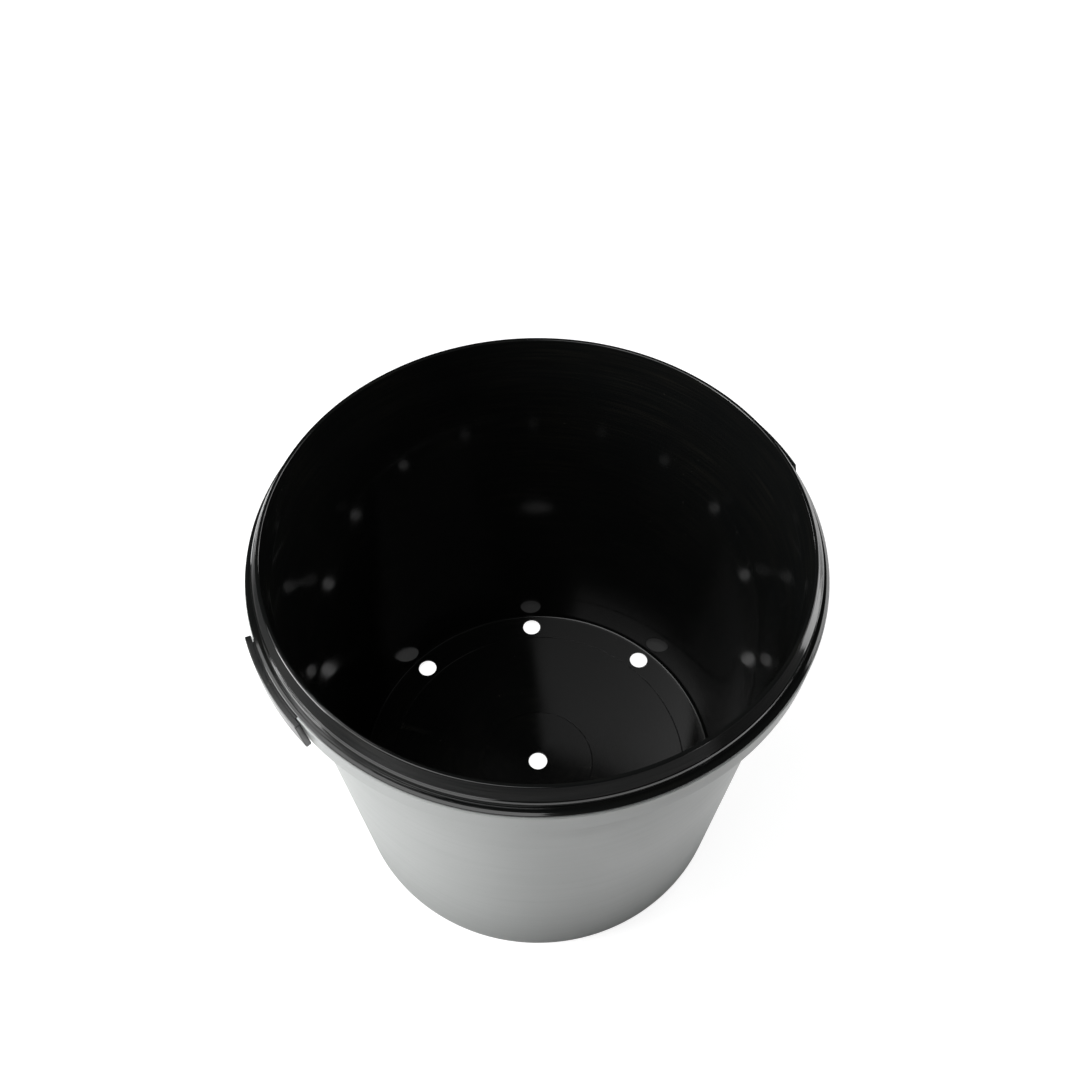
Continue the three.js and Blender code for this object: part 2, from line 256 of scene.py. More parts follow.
MERGE_DISTANCE = 1e-6
SHARP_ABOVE = 40.0
CLOUD_RANGE = (0.3, 0.7)
MARKS_RANGE = (0.42, 0.70)
SPECK_RANGE = (0.10, 0.22)
PROUD_RANGE = (0.53, 0.62)
WEAR_RANGE = (0.40, 0.62)
WEAR_LEAST = 0.15
GREY = (0.300, 0.312, 0.306, 1.0)
GREY_CLOUDS = (0.965, 1.035)
GREY_SPECKS = (0.30, 0.62)
GREY_WEAR = (0.35, 1.45)
GREY_ROUGHNESS = (0.36, 0.44)
GREY_POLISH = 0.05
GREY_GRAIN = 0.16
GRAIN_HEIGHT = 0.0001

shell_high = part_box("outer_shell")[1]
skirt_radius = shell_high.y / MM
shell_top = shell_high.z / MM
skirt_bottom = shell_top - SKIRT_DEPTH
shell_floor_top = FOOT_HEIGHT + SHELL_FLOOR


def wall_outer(z):
    """Radius of the shell's outside: a cone that bends to a steeper line behind the skirt."""
    low_slope = (SHELL_NECK - SHELL_BASE) / skirt_bottom
    high_slope = RIM_FLARE / SKIRT_DEPTH
    past = min(max(z - skirt_bottom + NECK_BEND, 0.0), 2.0 * NECK_BEND)
    bend = (high_slope - low_slope) * past * past / (4.0 * NECK_BEND)
    beyond = (high_slope - low_slope) * max(z - skirt_bottom - NECK_BEND, 0.0)
    return SHELL_BASE + low_slope * z + bend + beyond


def wall_run(inset):
    """Outline points, going up, of a wall that lies this far inside the shell's outside."""
    heights = [skirt_bottom + NECK_BEND * (2.0 * step / BEND_STEPS - 1.0) for step in range(BEND_STEPS + 1)]
    return [(wall_outer(z) - inset, z, 0.0) for z in heights]


def rounded(corners):
    """Round the (radius, z, round) corners of an outline, and add points beside the ends of long runs."""
    arcs = []
    for place, (r, z, size) in enumerate(corners):
        here = Vector((r, z))
        if size == 0.0:
            arcs.append(here)
            continue
        back = (Vector(corners[place - 1][:2]) - here).normalized()
        ahead = (Vector(corners[(place + 1) % len(corners)][:2]) - here).normalized()
        half = back.angle(ahead) / 2.0
        centre = here + (back + ahead).normalized() * size / math.sin(half)
        start = here + back * size / math.tan(half) - centre
        end = here + ahead * size / math.tan(half) - centre
        arcs += [centre + start.slerp(end, step / ARC_STEPS).normalized() * size
                 for step in range(ARC_STEPS + 1)]
    outline = []
    for place, here in enumerate(arcs):
        outline.append(here)
        ahead = arcs[(place + 1) % len(arcs)]
        run = ahead - here
        if run.length > LONG_RUN:
            outline += [here + run.normalized() * SUPPORT, ahead - run.normalized() * SUPPORT]
    return outline


def outline_mesh(name, corners):
    """Put an outline in a mesh of loose points, from the axis to the axis or closed on itself."""
    points = rounded(corners)
    if corners[0][0] != 0.0:
        points.append(points[0])
    mesh = bpy.data.meshes.new(name)
    mesh.from_pydata([(p.x * MM, 0.0, p.y * MM) for p in points], [], [])
    return mesh


def new_tree(name, inputs, outputs, kind="GeometryNodeTree"):
    """An empty node tree with named sockets, and its Group Input and Group Output nodes."""
    tree = bpy.data.node_groups.new(name, kind)
    for side, sockets in (("INPUT", inputs), ("OUTPUT", outputs)):
        for socket_name, socket_kind in sockets:
            tree.interface.new_socket(socket_name, in_out=side, socket_type="NodeSocket" + socket_kind)
    return tree, add_node(tree, "NodeGroupInput").outputs, add_node(tree, "NodeGroupOutput")


def turned_tree():
    """A group that turns an outline about Z into a closed form."""
    tree, given, result = new_tree("turned_form", [("Outline", "Geometry"), ("Steps Round", "Int")],
                                   [("Form", "Geometry")])
    count = add_node(tree, "GeometryNodeAttributeDomainSize", {0: given["Outline"]}).outputs["Point Count"]
    rows = add_node(tree, "FunctionNodeIntegerMath", {0: given["Steps Round"], 1: 1},
                    operation="ADD").outputs[0]
    grid = add_node(tree, "GeometryNodeMeshGrid", {"Vertices X": count, "Vertices Y": rows}).outputs["Mesh"]
    index = add_node(tree, "GeometryNodeInputIndex").outputs[0]
    point = add_node(tree, "FunctionNodeIntegerMath", {0: index, 1: rows}, operation="DIVIDE").outputs[0]
    step = add_node(tree, "FunctionNodeIntegerMath", {0: index, 1: rows}, operation="MODULO").outputs[0]
    place = add_node(tree, "GeometryNodeInputPosition").outputs[0]
    sample = add_node(tree, "GeometryNodeSampleIndex",
                      {"Geometry": given["Outline"], "Index": point}, data_type="FLOAT_VECTOR")
    tree.links.new(place, sample.inputs["Value"])
    turn = math_node(tree, "DIVIDE", math_node(tree, "MULTIPLY", step, 2.0 * math.pi), given["Steps Round"])
    turned = add_node(tree, "ShaderNodeVectorRotate", {
        "Vector": sample.outputs["Value"], "Axis": (0.0, 0.0, 1.0), "Angle": turn}).outputs[0]
    shaped = add_node(tree, "GeometryNodeSetPosition", {"Geometry": grid, "Position": turned}).outputs[0]
    closed = add_node(tree, "GeometryNodeMergeByDistance", {
        "Geometry": shaped, "Distance": WELD_DISTANCE}).outputs[0]
    outward = add_node(tree, "GeometryNodeFlipFaces", {"Mesh": closed}).outputs[0]
    tree.links.new(outward, result.inputs["Form"])
    return tree


def ring_tree():
    """A group that repeats a form round Z, from a first turn, at a radius."""
    tree, given, result = new_tree("ring_of_copies", [
        ("Copy", "Object"), ("Count", "Int"), ("Ring Radius", "Float"), ("First Turn", "Float")],
        [("Copies", "Geometry")])
    copy = add_node(tree, "GeometryNodeObjectInfo", {"Object": given["Copy"]}).outputs["Geometry"]
    reach = add_node(tree, "ShaderNodeCombineXYZ", {"X": given["Ring Radius"]}).outputs[0]
    moved = add_node(tree, "GeometryNodeTransform", {"Geometry": copy, "Translation": reach}).outputs[0]
    index = add_node(tree, "GeometryNodeInputIndex").outputs[0]
    share = math_node(tree, "DIVIDE", index, given["Count"])
    turn = math_node(tree, "MULTIPLY_ADD", share, 2.0 * math.pi, given["First Turn"])
    spin = add_node(tree, "ShaderNodeCombineXYZ", {"Z": turn}).outputs[0]
    spots = add_node(tree, "GeometryNodePoints", {"Count": given["Count"]}).outputs[0]
    copies = add_node(tree, "GeometryNodeInstanceOnPoints", {
        "Points": spots, "Instance": moved, "Rotation": spin}).outputs[0]
    real = add_node(tree, "GeometryNodeRealizeInstances", {"Geometry": copies}).outputs[0]
    tree.links.new(real, result.inputs["Copies"])
    return tree


turned_form = turned_tree()
ring_of_copies = ring_tree()


def turned_outline(tree, given):
    """Place the group that turns a tree's outline, and return its form."""
    return add_node(tree, "GeometryNodeGroup", {
        "Outline": given["Outline"], "Steps Round": given["Steps Round"]}, node_tree=turned_form).outputs[0]


def ring(tree, copy, count, radius=0.0, turn=0.0):
    """Place the group that repeats a form round Z, and return its copies."""
    return add_node(tree, "GeometryNodeGroup", {
        "Copy": copy, "Count": count, "Ring Radius": radius, "First Turn": turn},
        node_tree=ring_of_copies).outputs[0]


def joined(tree, first, second):
    """Melt two forms of a tree into one."""
    node = add_node(tree, "GeometryNodeMeshBoolean", operation="UNION", solver="MANIFOLD")
    tree.links.new(first, node.inputs[1])
    tree.links.new(second, node.inputs[1])
    return node.outputs[0]


def cut(tree, form, tool):
    """Cut one form of a tree out of another."""
    return add_node(tree, "GeometryNodeMeshBoolean", {0: form, 1: tool},
                    operation="DIFFERENCE", solver="MANIFOLD").outputs[0]


def finish_tree(tree, form, material, result):
    """End a tree in real geometry with its material."""
    real = add_node(tree, "GeometryNodeRealizeInstances", {"Geometry": form}).outputs[0]
    dressed = add_node(tree, "GeometryNodeSetMaterial", {"Geometry": real, "Material": material}).outputs[0]
    tree.links.new(dressed, result.inputs["Form"])


def shell_tree():
    """The outer shell: a turned wall, a ring of ribs, a notch for each grip, and the drains."""
    tree, given, result = new_tree("outer_shell_form", [
        ("Outline", "Geometry"), ("Steps Round", "Int"), ("Rib", "Object"), ("Rib Count", "Int"),
        ("Rib Turn", "Float"), ("Notch", "Object"), ("Drain", "Object"), ("Drain Count", "Int"),
        ("Drain Ring", "Float"), ("Drain Turn", "Float"), ("Material", "Material")], [("Form", "Geometry")])
    ribs = ring(tree, given["Rib"], given["Rib Count"], turn=given["Rib Turn"])
    drains = ring(tree, given["Drain"], given["Drain Count"], given["Drain Ring"], given["Drain Turn"])
    form = joined(tree, turned_outline(tree, given), ribs)
    form = cut(tree, form, ring(tree, given["Notch"], 2))
    form = cut(tree, form, ring(tree, given["Drain"], 1))
    form = cut(tree, form, drains)
    finish_tree(tree, form, given["Material"], result)
    return tree


def linked_object(name, mesh):
    """An object at the origin that holds this mesh."""
    piece = bpy.data.objects.new(name, mesh)
    bpy.context.scene.collection.objects.link(piece)
    return piece


def grown(name, tree, start, values):
    """Run a geometry tree on a start mesh, and keep the result as a plain object."""
    piece = linked_object(name, start)
    modifier = piece.modifiers.new("form", "NODES")
    modifier.node_group = tree
    for item in tree.interface.items_tree:
        if item.in_out == "INPUT" and item.name in values:
            modifier[item.identifier] = values[item.name]
    bpy.context.view_layer.update()
    shaped = piece.evaluated_get(bpy.context.evaluated_depsgraph_get())
    mesh = bpy.data.meshes.new_from_object(shaped)
    piece.modifiers.clear()
    piece.data = mesh
    mesh.name = name
    return piece


def faces_out(mesh):
    """Merge doubled points and turn the faces of a closed mesh outwards."""
    form = bmesh.new()
    form.from_mesh(mesh)
    bmesh.ops.remove_doubles(form, verts=form.verts, dist=MERGE_DISTANCE)
    bmesh.ops.recalc_face_normals(form, faces=form.faces)
    form.to_mesh(mesh)
    form.free()


def smooth_outward(piece):
    """Turn the faces outwards, shade them smooth, and keep only the true edges sharp."""
    faces_out(piece.data)
    piece.data.shade_smooth()
    piece.data.set_sharp_from_angle(angle=math.radians(SHARP_ABOVE))
    weighted = piece.modifiers.new("flat_faces_lead", "WEIGHTED_NORMAL")
    weighted.keep_sharp = True


def block(name, corners, half_width):
    """A plate that stands on an outline in the XZ plane and is this thick to each side of it."""
    form = bmesh.new()
    near = [form.verts.new((x * MM, -half_width * MM, z * MM)) for x, z in corners]
    far = [form.verts.new((x * MM, half_width * MM, z * MM)) for x, z in corners]
    form.faces.new(near)
    form.faces.new(reversed(far))
    for place in range(len(corners)):
        ahead = (place + 1) % len(corners)
        form.faces.new((near[place], far[place], far[ahead], near[ahead]))
    mesh = bpy.data.meshes.new(name)
    form.to_mesh(mesh)
    form.free()
    faces_out(mesh)
    return linked_object(name, mesh)


def turned(name, corners):
    """A plain turned object, used as a tool that cuts."""
    tree, given, result = new_tree("tool_" + name, [("Outline", "Geometry"), ("Steps Round", "Int")],
                                   [("Form", "Geometry")])
    tree.links.new(turned_outline(tree, given), result.inputs["Form"])
    tool = grown(name, tree, outline_mesh(name, corners), {"Steps Round": TOOL_STEPS})
    faces_out(tool.data)
    return tool


def drain_tool(name, radius, bottom, top):
    """A spool that cuts a drain hole and rounds its edges over."""
    wide = radius + DRAIN_EDGE
    bend = DRAIN_EDGE * DRAIN_BEND
    return turned(name, [
        (0.0, bottom - TOOL_PAST, 0.0), (wide, bottom - TOOL_PAST, 0.0), (wide, bottom, 0.0),
        (radius + bend, bottom + bend, 0.0), (radius, bottom + DRAIN_EDGE, 0.0),
        (radius, top - DRAIN_EDGE, 0.0), (radius + bend, top - bend, 0.0),
        (wide, top, 0.0), (wide, top + TOOL_PAST, 0.0), (0.0, top + TOOL_PAST, 0.0)])


shell_corners = [
    (0.0, FOOT_HEIGHT, 0.0),
    (SHELL_BASE - FOOT_WIDTH, FOOT_HEIGHT, 0.3),
    (SHELL_BASE - FOOT_WIDTH, 0.0, 0.3),
    (wall_outer(0.0), 0.0, FOOT_ROUND),
    *wall_run(0.0),
    (wall_outer(shell_top - WEB_THICKNESS), shell_top - WEB_THICKNESS, 0.4),
    (skirt_radius - SKIRT_WALL, shell_top - WEB_THICKNESS, 0.4),
    (skirt_radius - SKIRT_TAPER - SKIRT_WALL, skirt_bottom, 0.3),
    (skirt_radius - SKIRT_TAPER, skirt_bottom, 0.4),
    (skirt_radius, shell_top, SKIRT_EDGE),
    (wall_outer(shell_top) - SHELL_WALL, shell_top, 0.4),
    *reversed(wall_run(SHELL_WALL)),
    (wall_outer(shell_floor_top) - SHELL_WALL, shell_floor_top, SHELL_CORNER),
    (0.0, shell_floor_top, 0.0),
]
rib_bottom = shell_top - WEB_THICKNESS - RIB_DEPTH
rib_top = shell_top - WEB_THICKNESS / 2.0
rib_outer = skirt_radius - SKIRT_TAPER - SKIRT_WALL / 2.0
rib = block("rib", [
    (wall_outer(rib_bottom) - SHELL_WALL / 2.0, rib_bottom), (rib_outer, rib_bottom),
    (rib_outer, rib_top), (wall_outer(rib_top) - SHELL_WALL / 2.0, rib_top)], RIB_THICKNESS / 2.0)
rim_radius = SHELL_NECK + RIM_FLARE
notch_outer = skirt_radius + 2.0 * TOOL_PAST
notch_bottom = skirt_bottom - TOOL_PAST
notch_top = shell_top + TOOL_PAST
notch = block("notch", [
    (rim_radius, notch_bottom), (notch_outer, notch_bottom), (notch_outer, notch_top),
    (rim_radius, notch_top)], skirt_radius * math.sin(math.radians(NOTCH_HALF_ANGLE)))
shell_drain = drain_tool("shell_drain", SHELL_DRAIN, FOOT_HEIGHT, shell_floor_top)


def plain_material(name):
    """A material with its Principled shader, and nothing else yet."""
    material = bpy.data.materials.new(name)
    material.use_nodes = True
    tree = material.node_tree
    tree.nodes.clear()
    shader = add_node(tree, "ShaderNodeBsdfPrincipled")
    add_node(tree, "ShaderNodeOutputMaterial", {"Surface": shader.outputs[0]})
    return material, tree, shader


def object_place(tree):
    """The place on the piece, in metres."""
    return add_node(tree, "ShaderNodeTexCoord").outputs["Object"]


def mould_grain_group():
    """The fine grain and the slow cloudy variation of a moulded surface."""
    tree, given, result = new_tree("mould_grain", [("Grain Scale", "Float"), ("Cloud Scale", "Float")],
                                   [("Height", "Float"), ("Clouds", "Float")], "ShaderNodeTree")
    place = object_place(tree)
    fine = add_node(tree, "ShaderNodeTexNoise", {
        "Vector": place, "Scale": given["Grain Scale"], "Detail": 3.0}).outputs["Fac"]
    slow = add_node(tree, "ShaderNodeTexNoise", {
        "Vector": place, "Scale": given["Cloud Scale"], "Detail": 4.0}).outputs["Fac"]
    tree.links.new(fine, result.inputs["Height"])
    tree.links.new(map_range(tree, slow, *CLOUD_RANGE, 0.0, 1.0), result.inputs["Clouds"])
    return tree


def turning_marks_group():
    """Faint streaks that run round the pot, as the polish of a turned mould leaves them."""
    tree, given, result = new_tree("turning_marks", [("Marks Scale", "Float"), ("Length", "Float")],
                                   [("Marks", "Float")], "ShaderNodeTree")
    place = object_place(tree)
    split = add_node(tree, "ShaderNodeSeparateXYZ", {0: place}).outputs
    flat = add_node(tree, "ShaderNodeCombineXYZ", {"X": split["X"], "Y": split["Y"]}).outputs[0]
    radius = add_node(tree, "ShaderNodeVectorMath", {0: flat}, operation="LENGTH").outputs["Value"]
    bearing = add_node(tree, "ShaderNodeVectorMath", {0: flat}, operation="NORMALIZE").outputs["Vector"]
    around = add_node(tree, "ShaderNodeVectorMath", {0: bearing, "Scale": given["Length"]},
                      operation="SCALE").outputs["Vector"]
    across = math_node(tree, "MULTIPLY", math_node(tree, "ADD", radius, split["Z"]), given["Marks Scale"])
    lift = add_node(tree, "ShaderNodeCombineXYZ", {"Z": across}).outputs[0]
    spot = add_node(tree, "ShaderNodeVectorMath", {0: around, 1: lift}, operation="ADD").outputs["Vector"]
    streaks = add_node(tree, "ShaderNodeTexNoise", {"Vector": spot, "Scale": 1.0, "Detail": 3.0})
    tree.links.new(map_range(tree, streaks.outputs["Fac"], *MARKS_RANGE, 0.0, 1.0), result.inputs["Marks"])
    return tree


def dust_specks_group():
    """Tiny round specks of dust, thinly and unevenly spread."""
    tree, given, result = new_tree("dust_specks", [("Speck Scale", "Float"), ("Share", "Float")],
                                   [("Specks", "Float")], "ShaderNodeTree")
    cells = add_node(tree, "ShaderNodeTexVoronoi", {
        "Vector": object_place(tree), "Scale": given["Speck Scale"]})
    luck = add_node(tree, "ShaderNodeSeparateColor", {0: cells.outputs["Color"]}).outputs[0]
    chosen = math_node(tree, "LESS_THAN", luck, given["Share"])
    dot = map_range(tree, cells.outputs["Distance"], *SPECK_RANGE, 1.0, 0.0)
    tree.links.new(math_node(tree, "MULTIPLY", chosen, dot), result.inputs["Specks"])
    return tree


def edge_wear_group():
    """Where the edges stand proud and get rubbed, broken up by a noise."""
    tree, given, result = new_tree("edge_wear", [("Wear Scale", "Float")], [("Wear", "Float")],
                                   "ShaderNodeTree")
    pointed = add_node(tree, "ShaderNodeNewGeometry").outputs["Pointiness"]
    proud = map_range(tree, pointed, *PROUD_RANGE, 0.0, 1.0)
    patch = add_node(tree, "ShaderNodeTexNoise", {
        "Vector": object_place(tree), "Scale": given["Wear Scale"], "Detail": 4.0}).outputs["Fac"]
    broken = map_range(tree, patch, *WEAR_RANGE, WEAR_LEAST, 1.0)
    tree.links.new(math_node(tree, "MULTIPLY", proud, broken), result.inputs["Wear"])
    return tree


mould_grain = mould_grain_group()
turning_marks = turning_marks_group()
dust_specks = dust_specks_group()
edge_wear = edge_wear_group()


def effect(tree, group, **values):
    """Place a shared effect in a material with its own values, and return its outputs."""
    inputs = {key.replace("_", " ").title(): value for key, value in values.items()}
    return add_node(tree, "ShaderNodeGroup", inputs, node_tree=group).outputs


def blend(tree, share, first, second):
    """Mix two colours, or two colour outputs, by a share."""
    mix = add_node(tree, "ShaderNodeMix", {"Factor": share}, data_type="RGBA")
    for key, value in (("A", first), ("B", second)):
        socket = next(s for s in mix.inputs if s.name == key and s.type == "RGBA")
        if isinstance(value, bpy.types.NodeSocket):
            tree.links.new(value, socket)
        else:
            socket.default_value = value
    return next(s for s in mix.outputs if s.type == "RGBA")


def shade(color, factor):
    """A lighter or darker version of a colour."""
    return [channel * factor for channel in color[:3]] + [1.0]


grey_plastic, grey, grey_shader = plain_material("satin_grey_plastic")
moulded = effect(grey, mould_grain, grain_scale=1500.0, cloud_scale=16.0)
polish = effect(grey, turning_marks, marks_scale=260.0, length=2.0)["Marks"]
specks = effect(grey, dust_specks, speck_scale=330.0, share=0.10)["Specks"]
rubbed = effect(grey, edge_wear, wear_scale=120.0)["Wear"]
tone = blend(grey, moulded["Clouds"], shade(GREY, GREY_CLOUDS[0]), shade(GREY, GREY_CLOUDS[1]))
tone = blend(grey, math_node(grey, "MULTIPLY", specks, GREY_SPECKS[0]), tone, shade(GREY, GREY_SPECKS[1]))
tone = blend(grey, math_node(grey, "MULTIPLY", rubbed, GREY_WEAR[0]), tone, shade(GREY, GREY_WEAR[1]))
grey.links.new(tone, grey_shader.inputs["Base Color"])
rough = map_range(grey, moulded["Clouds"], 0.0, 1.0, *GREY_ROUGHNESS)
rough = math_node(grey, "MULTIPLY_ADD", polish, GREY_POLISH, rough)
grey.links.new(rough, grey_shader.inputs["Roughness"])
grain_bump = add_node(grey, "ShaderNodeBump", {
    "Height": moulded["Height"], "Strength": GREY_GRAIN, "Distance": GRAIN_HEIGHT}).outputs[0]
grey.links.new(grain_bump, grey_shader.inputs["Normal"])

outer_shell = grown("outer_shell_moulding", shell_tree(), outline_mesh("shell_outline", shell_corners), {
    "Steps Round": STEPS_ROUND, "Rib": rib, "Rib Count": RIB_COUNT,
    "Rib Turn": math.pi / RIB_COUNT, "Notch": notch, "Drain": shell_drain, "Drain Count": DRAIN_COUNT,
    "Drain Ring": DRAIN_RING * MM, "Drain Turn": math.radians(DRAIN_TURN), "Material": grey_plastic})
smooth_outward(outer_shell)
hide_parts("outer_shell")
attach(outer_shell, "shell")
for tool in (rib, notch, shell_drain):
    bpy.data.objects.remove(tool)

# Inner pot: the glossy black liner, moulded in one shot. It hangs by its ledge on the shell's rim.
# Above the ledge it has a grooved neck, a crest and a thin lip, and its floor drains through nine holes.
NEST_GAP = 0.3
POT_WALL = 1.2
POT_FLOOR = 1.3
POT_CORNER = 2.0
CHANNEL_WIDTH = 2.0
CHANNEL_WALL = 1.2
CHANNEL_HEIGHT = 9.0
CHANNEL_DRAFT = 0.4
COLLAR_GROOVE = 0.5
LEDGE_WIDTH = 4.7
LEDGE_THICKNESS = 1.9
LEDGE_EDGE = 0.45
LEDGE_INSET = 0.6
LEDGE_UNDERCUT = 0.3
LEDGE_FLAT = 2.4
LEDGE_FALL = 0.62
CREST_PROUD = 0.3
CREST_DROP = 8.4
CREST_LAND = 1.7
CREST_STEP = 0.38
CREST_SHELF = 0.55
CREST_RISE = 0.2
LIP_LEAN = 4.1
LIP_THICKNESS = 2.0
LIP_EDGE = 0.8
FLOOR_GROOVE = 110.0
GROOVE_WIDTH = 0.9
GROOVE_DEPTH = 0.4
DISC_RADIUS = 41.0
DISC_DEPTH = 0.4
DISC_RISE = 1.0
DISC_GROOVE = 0.6
DRAIN_RADIUS = 7.0
BLACK = (0.0040, 0.0044, 0.0044, 1.0)
FLOOR_DULLNESS = 0.07
DUSTY_FILM = (0.0130, 0.0122, 0.0098, 1.0)
DUST = (0.110, 0.105, 0.092, 1.0)
FILM_SHARE = 0.55
DUST_SHARE = 0.12
BLACK_ROUGHNESS = (0.05, 0.10)
BLACK_POLISH = 0.03
SPECK_DULLNESS = 0.10
COLLAR_MARKS = 0.35
BLACK_GRAIN = 0.05

pot_top = pot_high.z / MM
pot_bottom = pot_low.z / MM
pot_floor_top = pot_bottom + POT_FLOOR
ledge_radius = pot_high.y / MM
collar_radius = ledge_radius - LEDGE_WIDTH
ledge_bottom = shell_top + NEST_GAP
ledge_top = ledge_bottom + LEDGE_THICKNESS
channel_outer = collar_radius - COLLAR_GROOVE - CHANNEL_WALL
channel_inner = channel_outer - CHANNEL_WIDTH
crest_radius = collar_radius + CREST_PROUD
crest_z = pot_top - CREST_DROP
lip_radius = collar_radius - LIP_LEAN
pot_outset = SHELL_WALL + NEST_GAP
pot_inset = pot_outset + POT_WALL
groove_z = (crest_z + ledge_top) / 2.0
pot_corners = [
    (0.0, pot_bottom, 0.0),
    (wall_outer(pot_bottom) - pot_outset, pot_bottom, SHELL_CORNER),
    *wall_run(pot_outset),
    (wall_outer(ledge_bottom) - pot_outset, ledge_bottom, 0.3),
    (channel_inner, ledge_bottom, 0.25),
    (channel_inner + CHANNEL_DRAFT, ledge_bottom + CHANNEL_HEIGHT, 0.4),
    (channel_outer - CHANNEL_DRAFT, ledge_bottom + CHANNEL_HEIGHT, 0.4),
    (channel_outer, ledge_bottom, 0.25),
    (ledge_radius - LEDGE_INSET - LEDGE_UNDERCUT, ledge_bottom, 0.2),
    (ledge_radius - LEDGE_INSET, ledge_top - LEDGE_FALL, LEDGE_EDGE),
    (collar_radius + LEDGE_FLAT, ledge_top, 0.2),
    (collar_radius, ledge_top, 0.4),
    (collar_radius, groove_z - 0.3, 0.25),
    (collar_radius - COLLAR_GROOVE, groove_z + 0.3, 0.25),
    (collar_radius - COLLAR_GROOVE, crest_z - CREST_LAND / 2.0 - 0.4, 0.25),
    (crest_radius, crest_z - CREST_LAND / 2.0, 0.30),
    (crest_radius - CREST_STEP, crest_z + CREST_LAND / 2.0 - 0.1, 0.20),
    (crest_radius - CREST_STEP - CREST_SHELF, crest_z + CREST_LAND / 2.0 + CREST_RISE, 0.12),
    (lip_radius, pot_top, LIP_EDGE),
    (lip_radius - LIP_THICKNESS, pot_top, LIP_EDGE),
    *reversed(wall_run(pot_inset)),
    (wall_outer(pot_floor_top) - pot_inset, pot_floor_top, POT_CORNER),
    (FLOOR_GROOVE + GROOVE_WIDTH / 2.0, pot_floor_top, 0.12),
    (FLOOR_GROOVE, pot_floor_top - GROOVE_DEPTH, 0.12),
    (FLOOR_GROOVE - GROOVE_WIDTH / 2.0, pot_floor_top, 0.12),
    (DISC_RADIUS + DISC_GROOVE / 2.0, pot_floor_top, 0.10),
    (DISC_RADIUS, pot_floor_top - DISC_DEPTH - DISC_GROOVE / 2.0, 0.10),
    (DISC_RADIUS - DISC_GROOVE / 2.0, pot_floor_top - DISC_DEPTH, 0.10),
    (0.0, pot_floor_top - DISC_DEPTH + DISC_RISE, 0.0),
]
ring_drain = drain_tool("ring_drain", DRAIN_RADIUS, pot_bottom, pot_floor_top)
centre_top = pot_floor_top - DISC_DEPTH + DISC_RISE * (1.0 - DRAIN_RADIUS / DISC_RADIUS)
centre_drain = drain_tool("centre_drain", DRAIN_RADIUS, pot_bottom, centre_top)


def pot_tree():
    """The inner pot: a turned form with a centre drain and a ring of them."""
    tree, given, result = new_tree("inner_pot_form", [
        ("Outline", "Geometry"), ("Steps Round", "Int"), ("Centre Drain", "Object"), ("Drain", "Object"),
        ("Drain Count", "Int"), ("Drain Ring", "Float"), ("Drain Turn", "Float"),
        ("Material", "Material")], [("Form", "Geometry")])
    drains = ring(tree, given["Drain"], given["Drain Count"], given["Drain Ring"], given["Drain Turn"])
    form = cut(tree, turned_outline(tree, given), ring(tree, given["Centre Drain"], 1))
    form = cut(tree, form, drains)
    finish_tree(tree, form, given["Material"], result)
    return tree


black_plastic, black, black_shader = plain_material("gloss_black_plastic")
moulded = effect(black, mould_grain, grain_scale=260.0, cloud_scale=22.0)
polish = effect(black, turning_marks, marks_scale=900.0, length=3.0)["Marks"]
specks = effect(black, dust_specks, speck_scale=240.0, share=0.02)["Specks"]
rubbed = effect(black, edge_wear, wear_scale=90.0)["Wear"]
film = math_node(black, "MULTIPLY", moulded["Clouds"], polish)
tone = blend(black, math_node(black, "MULTIPLY", film, FILM_SHARE), BLACK, DUSTY_FILM)
tone = blend(black, math_node(black, "MULTIPLY", specks, DUST_SHARE), tone, DUST)
tone = blend(black, math_node(black, "MULTIPLY", rubbed, DUST_SHARE), tone, DUST)
black.links.new(tone, black_shader.inputs["Base Color"])
rough = map_range(black, moulded["Clouds"], 0.0, 1.0, *BLACK_ROUGHNESS)
rough = math_node(black, "MULTIPLY_ADD", polish, BLACK_POLISH, rough)
rough = math_node(black, "MULTIPLY_ADD", specks, SPECK_DULLNESS, rough)
height = add_node(black, "ShaderNodeSeparateXYZ", {0: object_place(black)}).outputs["Z"]
on_floor = map_range(black, height, pot_floor_top * MM, (pot_floor_top + POT_CORNER) * MM, 1.0, 0.0)
rough = math_node(black, "MULTIPLY_ADD", on_floor, FLOOR_DULLNESS, rough)
black.links.new(rough, black_shader.inputs["Roughness"])
on_collar = map_range(black, height, ledge_bottom * MM, ledge_top * MM, 0.0, 1.0)
collar_marks = add_node(black, "ShaderNodeBump", {
    "Height": math_node(black, "MULTIPLY", polish, on_collar), "Strength": COLLAR_MARKS,
    "Distance": GRAIN_HEIGHT}).outputs[0]
grain_bump = add_node(black, "ShaderNodeBump", {
    "Height": moulded["Height"], "Strength": BLACK_GRAIN, "Distance": GRAIN_HEIGHT,
    "Normal": collar_marks}).outputs[0]
black.links.new(grain_bump, black_shader.inputs["Normal"])

inner_pot = grown("inner_pot_moulding", pot_tree(), outline_mesh("pot_outline", pot_corners), {
    "Steps Round": STEPS_ROUND, "Centre Drain": centre_drain, "Drain": ring_drain,
    "Drain Count": DRAIN_COUNT, "Drain Ring": DRAIN_RING * MM,
    "Drain Turn": math.radians(DRAIN_TURN), "Material": black_plastic})
smooth_outward(inner_pot)
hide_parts("inner_pot")
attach(inner_pot, "pot")
for tool in (ring_drain, centre_drain):
    bpy.data.objects.remove(tool)

